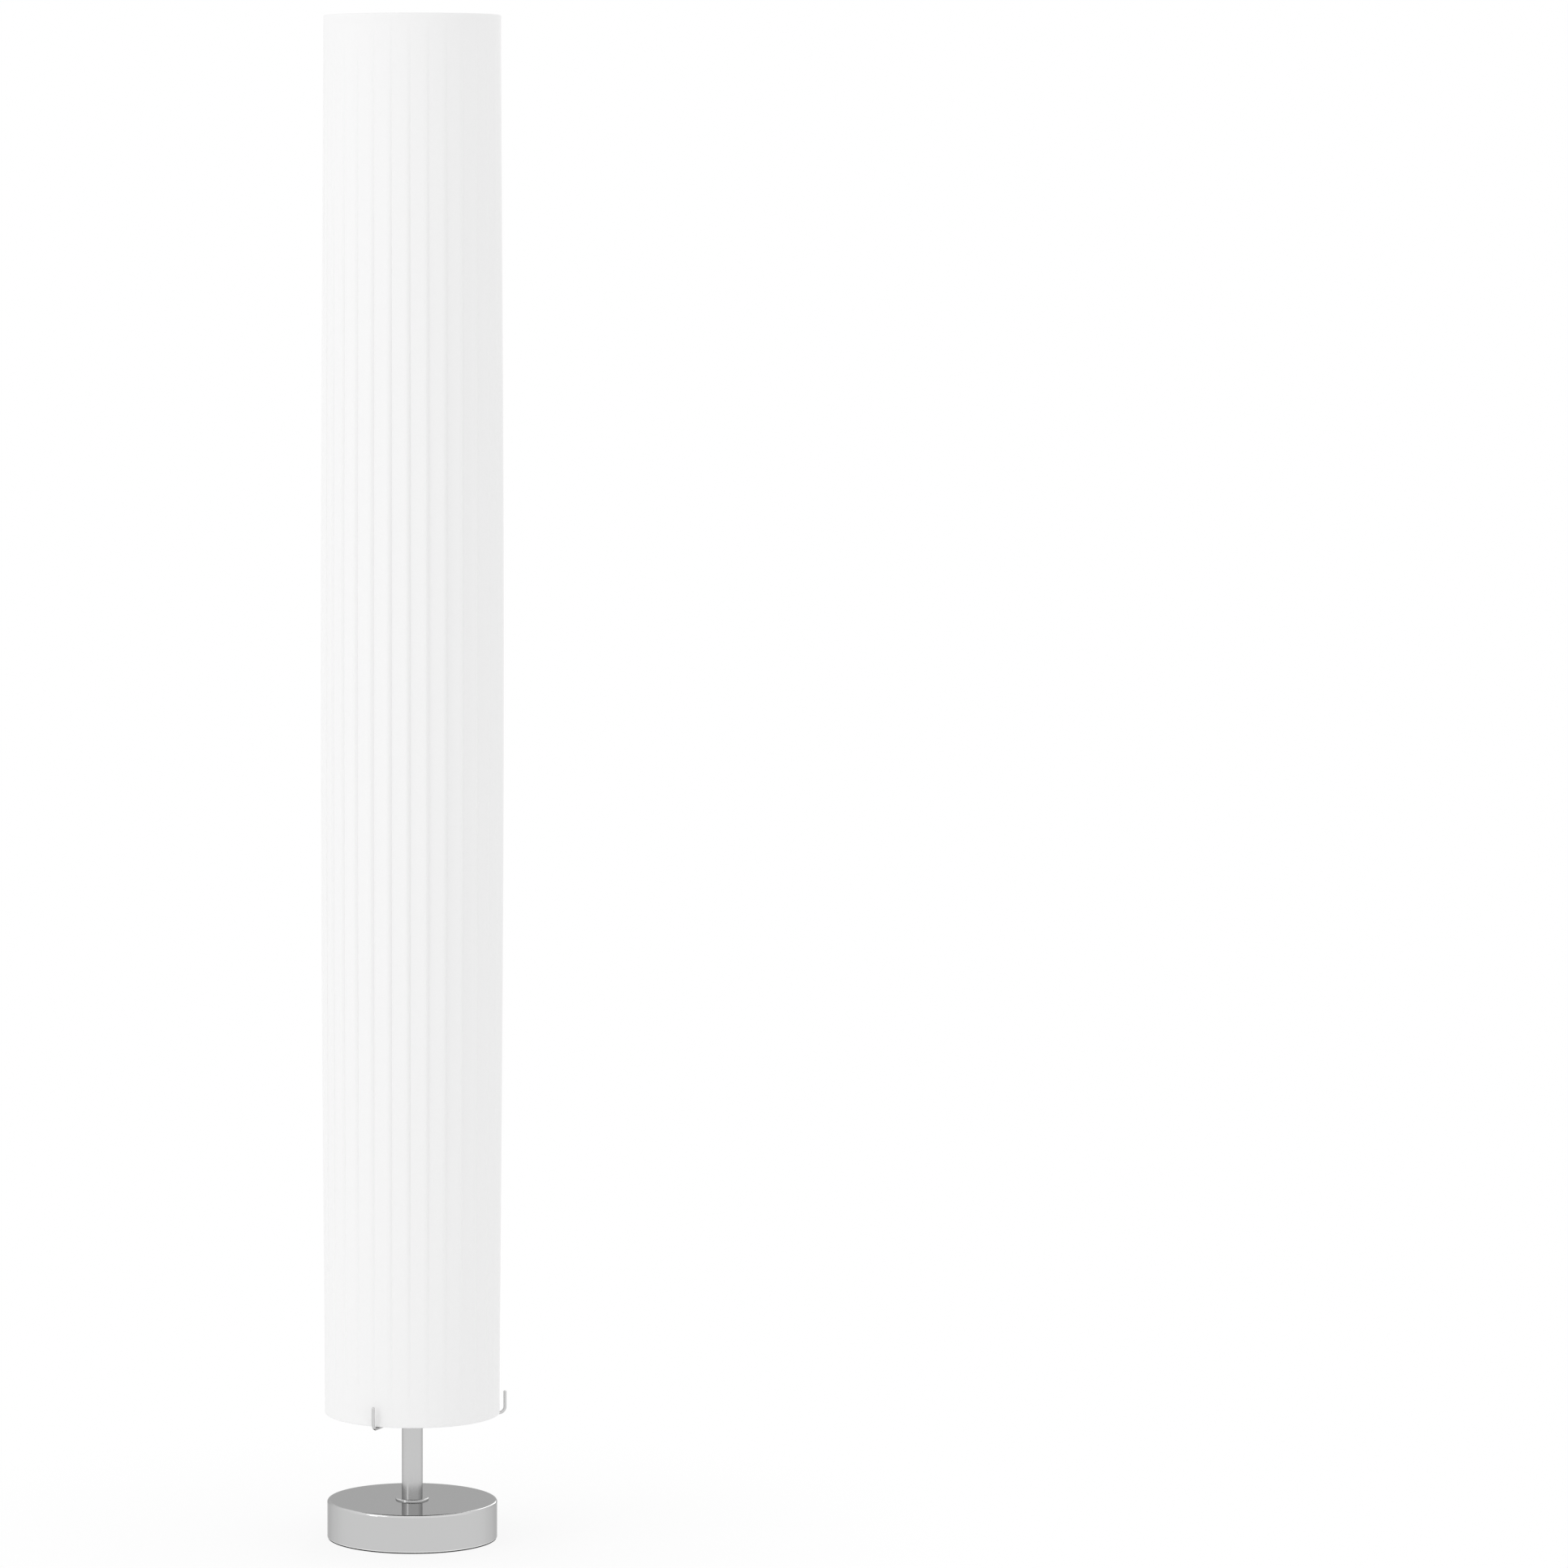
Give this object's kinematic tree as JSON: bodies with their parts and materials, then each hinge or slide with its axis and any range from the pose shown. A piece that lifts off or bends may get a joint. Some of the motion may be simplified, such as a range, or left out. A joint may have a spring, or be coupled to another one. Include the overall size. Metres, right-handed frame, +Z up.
{
  "type": "column floor lamp",
  "caption": "Tall column floor lamp: a slim pleated cloth shade stands on wire hooks over a short chromed stem and a weighted drum base, with screw lampholders inside.",
  "frame": {"origin": "on the floor, under the middle of the drum base", "axes": "+Z up along the stem; the front faces -Y, and the cord inlet is at the back, +Y"},
  "size_m": [0.1464, 0.144, 1.2],
  "materials": {
    "chrome": "polished",
    "plated_steel": "zinc plated",
    "white_paint": "satin white",
    "iron": "as cast",
    "pad_foam": "matte foam",
    "brass": "bright",
    "holder_plastic": "moulded white",
    "black_plastic": "moulded black",
    "porcelain": "glazed white",
    "opal_glass": "opal white",
    "nickel": "nickel plated",
    "lead_sleeve": "white sleeve",
    "cloth": "white pleated cloth",
    "liner_film": "translucent white film"
  },
  "bodies": {
    "stand": {"base_cover": "chrome", "base_weight": "iron", "base_pad": "pad_foam", "base_nipple": "plated_steel", "base_nut": "plated_steel", "base_washer": "plated_steel", "inlet_bush": "black_plastic", "terminal_block": "holder_plastic", "terminal_barrels": "brass", "terminal_screws": "plated_steel", "stem_collar": "chrome", "stem_tube": "chrome", "stem_lower_bush": "plated_steel", "stem_upper_bush": "plated_steel", "holder_hub": "plated_steel", "holder_wire_front": "chrome", "holder_wire_right": "chrome", "holder_wire_rear": "chrome", "holder_nipple": "plated_steel", "lower_pole": "chrome", "upper_pole": "chrome", "pole_joint_nipple": "plated_steel", "top_nipple": "plated_steel", "top_cap_nut": "plated_steel", "lower_side_plate": "plated_steel", "lower_side_nut": "plated_steel", "lower_side_nipple": "plated_steel", "lower_holder_cap": "holder_plastic", "lower_holder_skirt": "holder_plastic", "lower_holder_core": "porcelain", "lower_thread_sleeve": "brass", "lower_centre_contact": "brass", "lower_lead": "lead_sleeve", "upper_side_plate": "plated_steel", "upper_side_nut": "plated_steel", "upper_side_nipple": "plated_steel", "upper_holder_cap": "holder_plastic", "upper_holder_skirt": "holder_plastic", "upper_holder_core": "porcelain", "upper_thread_sleeve": "brass", "upper_centre_contact": "brass", "upper_lead": "lead_sleeve"},
    "shade": {"shade_pleats": "cloth", "shade_liner": "liner_film", "shade_top_ring": "white_paint", "shade_bottom_ring": "white_paint", "shade_top_hem": "cloth", "shade_bottom_hem": "cloth"},
    "lower_bulb": {"lower_bulb_globe": "opal_glass", "lower_bulb_cap": "nickel", "lower_bulb_insulator": "black_plastic", "lower_bulb_eyelet": "brass", "lower_bulb_emitter": "holder_plastic"},
    "upper_bulb": {"upper_bulb_globe": "opal_glass", "upper_bulb_cap": "nickel", "upper_bulb_insulator": "black_plastic", "upper_bulb_eyelet": "brass", "upper_bulb_emitter": "holder_plastic"}
  },
  "joints": [
    {"name": "shade_lift", "type": "slide", "parent": "stand", "child": "shade", "axis": [0, 0, 1], "range_m": [0, 1.05]},
    {"name": "lower_bulb_turn", "type": "hinge", "parent": "stand", "child": "lower_bulb", "pos_m": [-0.033, 0, 0.48], "axis": [0, 0, 1], "range_deg": [0, 1080]},
    {"name": "upper_bulb_turn", "type": "hinge", "parent": "stand", "child": "upper_bulb", "pos_m": [0.033, 0, 1.047], "axis": [0, 0, 1], "range_deg": [0, 1080]}
  ]
}
